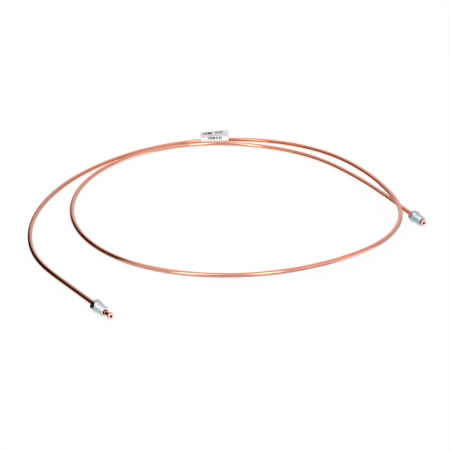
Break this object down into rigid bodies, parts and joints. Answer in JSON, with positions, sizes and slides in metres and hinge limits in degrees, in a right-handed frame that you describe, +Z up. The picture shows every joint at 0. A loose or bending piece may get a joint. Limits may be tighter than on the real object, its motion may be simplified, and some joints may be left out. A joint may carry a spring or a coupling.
{
  "type": "brake line",
  "caption": "Thin copper brake pipe bent into a loose coil, with a flare and a sliding tube nut at each end and a small folded flag label.",
  "frame": {"origin": "middle of the footprint, on the ground that the coiled pipe lies on", "axes": "+Z up out of the plane of the coil; +X to the right and +Y away from the picture's viewer"},
  "size_m": [0.4144, 0.4138, 0.0168],
  "materials": {
    "copper": null,
    "zinc": "bright zinc-plated turned steel",
    "paper": "matt white label stock"
  },
  "bodies": {
    "pipe": {"pipe": "copper", "label": "paper"},
    "left_nut": {"left_nut": "zinc"},
    "right_nut": {"right_nut": "zinc"}
  },
  "joints": [
    {"name": "left_nut_slide", "type": "slide", "parent": "pipe", "child": "left_nut", "axis": [0.6101, -0.7923, 0], "range_m": [-0.045, 0.0067]},
    {"name": "right_nut_slide", "type": "slide", "parent": "pipe", "child": "right_nut", "axis": [0.4603, -0.8878, 0], "range_m": [-0.015, 0.0005]}
  ]
}
